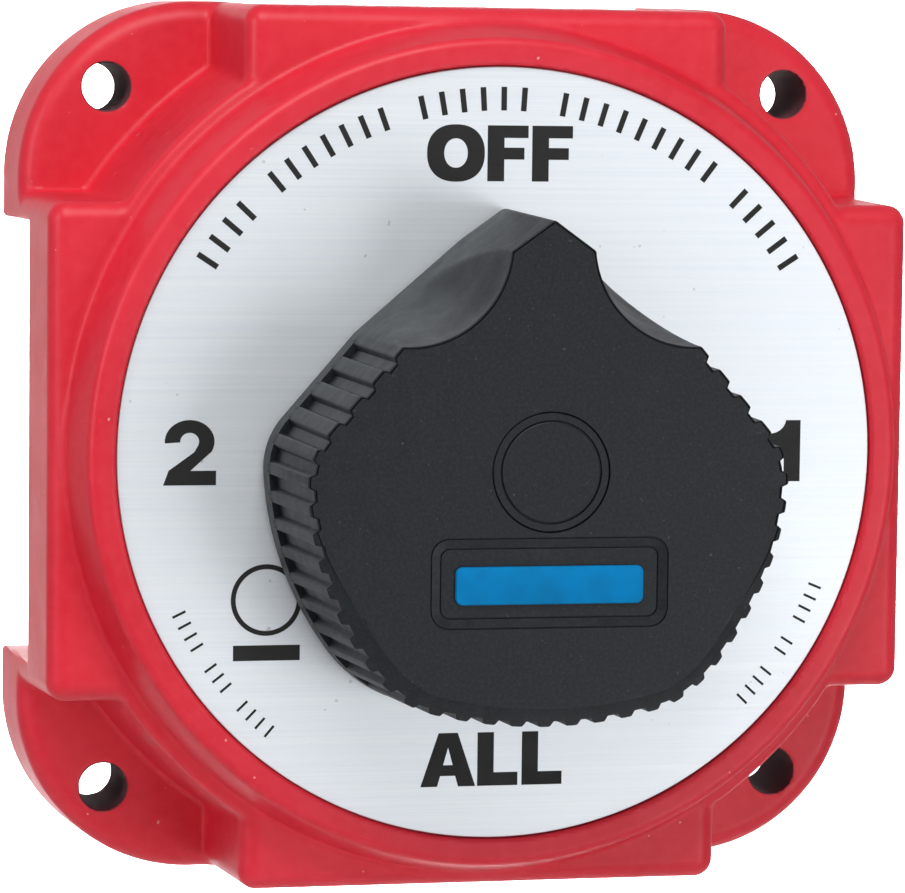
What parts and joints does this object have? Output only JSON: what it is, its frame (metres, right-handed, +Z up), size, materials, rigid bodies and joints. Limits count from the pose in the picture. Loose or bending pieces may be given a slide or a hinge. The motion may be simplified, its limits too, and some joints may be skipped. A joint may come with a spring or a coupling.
{
  "type": "battery selector switch",
  "caption": "Rotary battery selector switch with a moulded red housing, round metal dial plate, large turning grip knob, corner mounting lobes and rear terminal studs.",
  "frame": {"origin": "centre of the rear mounting face, on the knob's axis", "axes": "+X to the right and +Z up seen from the front; the dial and knob face -Y and the wall is at +Y"},
  "size_m": [0.159, 0.0969, 0.159],
  "materials": {
    "red_plastic": "satin moulded",
    "dial_metal": "horizontally brushed",
    "black_plastic": "fine moulded texture",
    "blue_mark": "satin",
    "steel": "plated",
    "copper": "bare copper",
    "brass": "turned",
    "board": "moulded insulating board",
    "rubber": "matt"
  },
  "bodies": {
    "base": {"housing": "red_plastic", "dial_plate": "dial_metal", "contact_board": "board", "board_screws": "steel", "contact_common": "copper", "contact_bank_1": "copper", "contact_bank_2": "copper", "stud_common": "brass", "stud_bank_1": "brass", "stud_bank_2": "brass", "stud_flat_washers": "brass", "stud_lock_washers": "steel", "stud_clamp_nuts": "brass", "lug_lock_washers": "steel", "lug_nuts": "brass"},
    "turning_knob": {"knob": "black_plastic", "knob_cap": "black_plastic", "knob_badge_bar": "blue_mark", "knob_screw": "steel", "knob_screw_washer": "steel", "shaft": "steel", "shaft_seal": "rubber", "contact_rotor": "board", "moving_contact": "copper", "contact_rivets": "copper", "contact_spring": "steel"}
  },
  "joints": [
    {"name": "knob_turn", "type": "hinge", "parent": "base", "child": "turning_knob", "pos_m": [0, -0.0596, 0], "axis": [0, 1, 0], "continuous": true}
  ]
}
